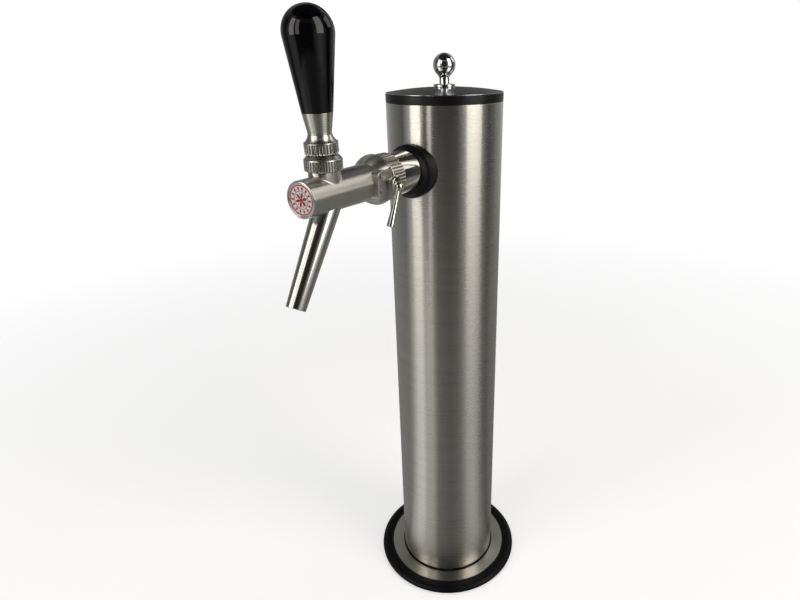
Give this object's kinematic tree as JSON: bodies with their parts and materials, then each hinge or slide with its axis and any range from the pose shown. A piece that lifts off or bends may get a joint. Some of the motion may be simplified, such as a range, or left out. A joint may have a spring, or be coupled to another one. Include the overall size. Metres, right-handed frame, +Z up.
{
  "type": "beer tower dispenser",
  "caption": "Column beer tower with a round flanged base, a lift-off domed cap and one lever tap with an angled spout, side flow control and inner line fittings.",
  "frame": {"origin": "centre of the bolt circle on the underside of the base flange, on the column's axis", "axes": "+Z up along the column, -Y out along the tap, +X to the side of the flow lever"},
  "size_m": [0.1536, 0.2762, 0.5683],
  "materials": {
    "brushed_steel": "brushed round the axis",
    "satin_steel": "satin",
    "polished_steel": "polished",
    "lid_steel": "satin",
    "chrome": "mirror",
    "brass": "bare",
    "black_rubber": "satin",
    "seal_rubber": "matte",
    "black_plastic": "satin",
    "white_plastic": "smooth",
    "black_gloss": "gloss",
    "badge_enamel": "gloss, white field with a red printed pattern"
  },
  "bodies": {
    "tower": {"base_flange": "brushed_steel", "base_edge_ring": "black_rubber", "column_tube": "brushed_steel", "saddle_washer": "black_rubber", "shank": "chrome", "inner_saddle": "black_plastic", "shank_locknut": "chrome", "tail_gasket": "seal_rubber", "tail_nut": "chrome", "tail_elbow": "chrome", "pipe_olive": "brass", "pipe_nut": "chrome", "product_pipe": "brushed_steel", "coupling_gasket": "seal_rubber", "coupling_nut": "polished_steel", "tap_body": "satin_steel", "spout": "satin_steel", "badge_bezel": "chrome", "badge": "badge_enamel", "lower_seat": "white_plastic", "upper_seat": "white_plastic", "bonnet_nut": "polished_steel", "flow_plate": "satin_steel", "plate_screws": "polished_steel", "flow_ring": "seal_rubber", "compensator_sleeve": "white_plastic"},
    "handle": {"lever_spindle": "polished_steel", "lever_collar": "polished_steel", "handle_ferrule": "satin_steel", "handle_grip": "black_gloss"},
    "piston": {"piston_rod": "polished_steel", "piston_rings": "seal_rubber", "shutoff_seal": "seal_rubber", "shutoff_washer": "polished_steel", "piston_nut": "polished_steel"},
    "flow_control": {"flow_hub": "polished_steel", "flow_lever": "polished_steel"},
    "compensator": {"compensator_cone": "white_plastic"},
    "cap": {"cap_ring": "black_plastic", "cap_lid": "lid_steel", "cap_knob": "chrome", "knob_washer": "polished_steel", "knob_nut": "polished_steel"}
  },
  "joints": [
    {"name": "pour_handle", "type": "hinge", "parent": "tower", "child": "handle", "pos_m": [0, -0.1546, 0.4678], "axis": [1, 0, 0], "range_deg": [0, 28]},
    {"name": "piston_slide", "type": "slide", "parent": "tower", "child": "piston", "axis": [0, 1, 0], "range_m": [0, 0.0082]},
    {"name": "flow_lever_turn", "type": "hinge", "parent": "tower", "child": "flow_control", "pos_m": [0, -0.1041, 0.4508], "axis": [1, 0, 0], "range_deg": [-70, 70]},
    {"name": "compensator_slide", "type": "slide", "parent": "tower", "child": "compensator", "axis": [0, 1, 0], "range_m": [-0.0016, 0.0016]},
    {"name": "cap_lift", "type": "slide", "parent": "tower", "child": "cap", "axis": [0, 0, 1], "range_m": [0, 0.06]}
  ],
  "couplings": [
    {"joint": "piston_slide", "follows": "pour_handle", "m_per_rad": 0.0166},
    {"joint": "compensator_slide", "follows": "flow_lever_turn", "m_per_rad": 0.0013}
  ]
}
